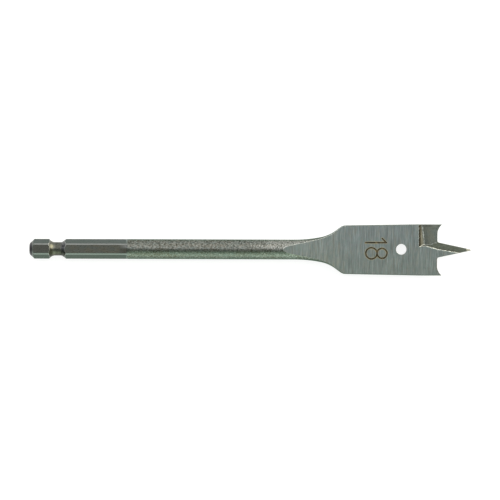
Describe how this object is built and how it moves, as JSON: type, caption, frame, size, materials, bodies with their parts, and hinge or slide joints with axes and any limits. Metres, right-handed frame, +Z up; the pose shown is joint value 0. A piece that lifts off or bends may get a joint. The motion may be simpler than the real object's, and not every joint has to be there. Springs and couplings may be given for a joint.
{
  "type": "spade drill bit",
  "caption": "Spade drill bit for wood: a flat blade with a long centre point, outer spurs and a hole, on a round bar with a grooved hexagon shank.",
  "frame": {"origin": "middle of the bounding box in X and Y, at the surface that the bit lies on", "axes": "+X along the bit towards its point, +Y across the blade, +Z up, square to the blade's faces"},
  "size_m": [0.155, 0.018, 0.007],
  "materials": {
    "steel": "bare satin steel, ground across the blade and browner along the bar and shank"
  },
  "bodies": {
    "root": {"spade_bit": "steel"}
  },
  "joints": []
}
